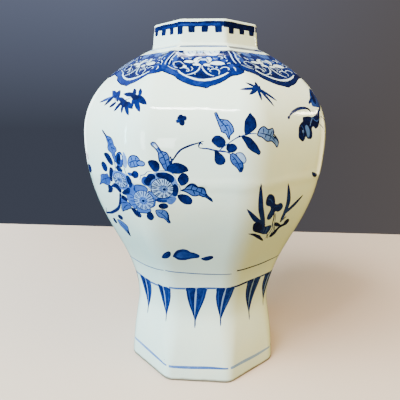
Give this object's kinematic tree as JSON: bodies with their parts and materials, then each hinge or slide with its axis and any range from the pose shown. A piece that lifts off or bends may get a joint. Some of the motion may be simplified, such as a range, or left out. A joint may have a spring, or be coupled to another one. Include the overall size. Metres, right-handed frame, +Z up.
{
  "type": "vase",
  "caption": "Octagonal blue-and-white porcelain baluster vase, open at the neck and without a cover: four moulded sections luted together with slip, and a base plate.",
  "frame": {"origin": "centre of the plane that the foot rests on", "axes": "+Z up along the vase's axis, -Y square to the front side face, +X to the right of it"},
  "size_m": [0.284, 0.284, 0.42],
  "materials": {
    "glazed_porcelain": "clear glossy glaze over cobalt-blue painting on a faintly blue-white body",
    "bare_clay": "unglazed fired porcelain clay, smooth and dry",
    "dried_slip": "fired slip, wiped by hand, slightly rough"
  },
  "bodies": {
    "root": {"foot": "glazed_porcelain", "base_plate": "bare_clay", "base_slip": "dried_slip", "waist_slip": "dried_slip", "lower_body": "glazed_porcelain", "belly_slip": "dried_slip", "shoulder": "glazed_porcelain", "neck_slip": "dried_slip", "neck": "glazed_porcelain"}
  },
  "joints": []
}
